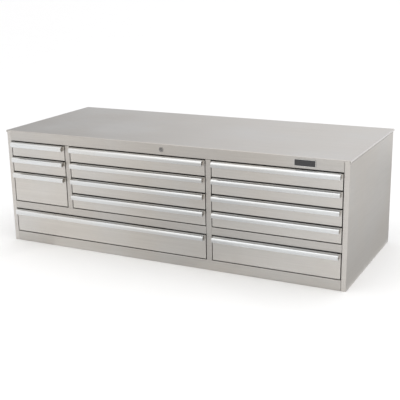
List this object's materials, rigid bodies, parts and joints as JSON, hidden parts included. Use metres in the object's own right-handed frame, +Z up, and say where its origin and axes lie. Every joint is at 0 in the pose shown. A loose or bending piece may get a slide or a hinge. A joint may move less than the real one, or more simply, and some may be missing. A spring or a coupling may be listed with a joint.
{
  "type": "tool chest with drawers",
  "caption": "Wide brushed stainless steel tool chest with stacked full-width-pull drawers on ball-bearing slides and one central lock.",
  "frame": {"origin": "on the floor, under the middle of the bounding box, pulls included", "axes": "+X to the right as seen from the front, +Y to the back, +Z up; the drawers open along -Y"},
  "size_m": [1.829, 0.775, 0.594],
  "materials": {
    "cabinet": "satin stainless steel, brushed along its length",
    "drawer": "satin stainless steel, brushed along its length",
    "pull": "satin anodised extrusion",
    "zinc": "bright zinc plate",
    "lock_face": "dark nickel plate",
    "badge": "plain gloss black plate with no marking"
  },
  "bodies": {
    "cabinet": {"back_panel": "cabinet", "base_channel_centre": "cabinet", "base_channel_left": "cabinet", "base_channel_right": "cabinet", "bottom_panel": "cabinet", "bottom_rail": "cabinet", "centre_divider": "cabinet", "centre_post": "cabinet", "left_divider": "cabinet", "left_post": "cabinet", "left_side_panel": "cabinet", "lock_housing": "lock_face", "lock_nut": "zinc", "mid_rail_left": "cabinet", "mid_rail_right": "cabinet", "nameplate": "badge", "rack_centre_divider_a": "zinc", "rack_centre_divider_b": "zinc", "rack_left_divider_a": "zinc", "rack_left_divider_b": "zinc", "rack_left_side": "zinc", "rack_right_side": "zinc", "right_side_panel": "cabinet", "tie_bar_guide_left": "zinc", "tie_bar_guide_right": "zinc", "top_panel": "cabinet"},
    "left_drawer_1": {"left_drawer_1_box": "drawer", "left_drawer_1_pull": "pull"},
    "left_drawer_2": {"left_drawer_2_box": "drawer", "left_drawer_2_pull": "pull"},
    "left_drawer_3": {"left_drawer_3_box": "drawer", "left_drawer_3_pull": "pull"},
    "centre_drawer_1": {"centre_drawer_1_box": "drawer", "centre_drawer_1_pull": "pull"},
    "centre_drawer_2": {"centre_drawer_2_box": "drawer", "centre_drawer_2_pull": "pull"},
    "centre_drawer_3": {"centre_drawer_3_box": "drawer", "centre_drawer_3_pull": "pull"},
    "centre_drawer_4": {"centre_drawer_4_box": "drawer", "centre_drawer_4_pull": "pull"},
    "right_drawer_1": {"right_drawer_1_box": "drawer", "right_drawer_1_pull": "pull"},
    "right_drawer_2": {"right_drawer_2_box": "drawer", "right_drawer_2_pull": "pull"},
    "right_drawer_3": {"right_drawer_3_box": "drawer", "right_drawer_3_pull": "pull"},
    "right_drawer_4": {"right_drawer_4_box": "drawer", "right_drawer_4_pull": "pull"},
    "wide_drawer": {"wide_drawer_box": "drawer", "wide_drawer_pull": "pull"},
    "right_drawer_5": {"right_drawer_5_box": "drawer", "right_drawer_5_pull": "pull"},
    "lock_cylinder": {"lock_plug": "lock_face", "lock_shaft": "zinc", "lock_crank": "zinc"},
    "lock_frame": {"lock_tie_bar": "zinc", "lock_bar_left": "zinc", "lock_bar_centre": "zinc", "lock_bar_right": "zinc"}
  },
  "joints": [
    {"name": "left_drawer_1_slide", "type": "slide", "parent": "cabinet", "child": "left_drawer_1", "axis": [0, -1, 0], "range_m": [0, 0.64]},
    {"name": "left_drawer_2_slide", "type": "slide", "parent": "cabinet", "child": "left_drawer_2", "axis": [0, -1, 0], "range_m": [0, 0.64]},
    {"name": "left_drawer_3_slide", "type": "slide", "parent": "cabinet", "child": "left_drawer_3", "axis": [0, -1, 0], "range_m": [0, 0.64]},
    {"name": "centre_drawer_1_slide", "type": "slide", "parent": "cabinet", "child": "centre_drawer_1", "axis": [0, -1, 0], "range_m": [0, 0.64]},
    {"name": "centre_drawer_2_slide", "type": "slide", "parent": "cabinet", "child": "centre_drawer_2", "axis": [0, -1, 0], "range_m": [0, 0.64]},
    {"name": "centre_drawer_3_slide", "type": "slide", "parent": "cabinet", "child": "centre_drawer_3", "axis": [0, -1, 0], "range_m": [0, 0.64]},
    {"name": "centre_drawer_4_slide", "type": "slide", "parent": "cabinet", "child": "centre_drawer_4", "axis": [0, -1, 0], "range_m": [0, 0.64]},
    {"name": "right_drawer_1_slide", "type": "slide", "parent": "cabinet", "child": "right_drawer_1", "axis": [0, -1, 0], "range_m": [0, 0.64]},
    {"name": "right_drawer_2_slide", "type": "slide", "parent": "cabinet", "child": "right_drawer_2", "axis": [0, -1, 0], "range_m": [0, 0.64]},
    {"name": "right_drawer_3_slide", "type": "slide", "parent": "cabinet", "child": "right_drawer_3", "axis": [0, -1, 0], "range_m": [0, 0.64]},
    {"name": "right_drawer_4_slide", "type": "slide", "parent": "cabinet", "child": "right_drawer_4", "axis": [0, -1, 0], "range_m": [0, 0.64]},
    {"name": "wide_drawer_slide", "type": "slide", "parent": "cabinet", "child": "wide_drawer", "axis": [0, -1, 0], "range_m": [0, 0.64]},
    {"name": "right_drawer_5_slide", "type": "slide", "parent": "cabinet", "child": "right_drawer_5", "axis": [0, -1, 0], "range_m": [0, 0.64]},
    {"name": "lock_turn", "type": "hinge", "parent": "cabinet", "child": "lock_cylinder", "pos_m": [0, -0.3625, 0.5665], "axis": [0, -1, 0], "range_deg": [0, 90]},
    {"name": "lock_frame_lift", "type": "slide", "parent": "cabinet", "child": "lock_frame", "axis": [0, 0, 1], "range_m": [0, 0.01]}
  ],
  "couplings": [
    {"joint": "lock_turn", "follows": "lock_frame_lift", "rad_per_m": 157.08}
  ]
}
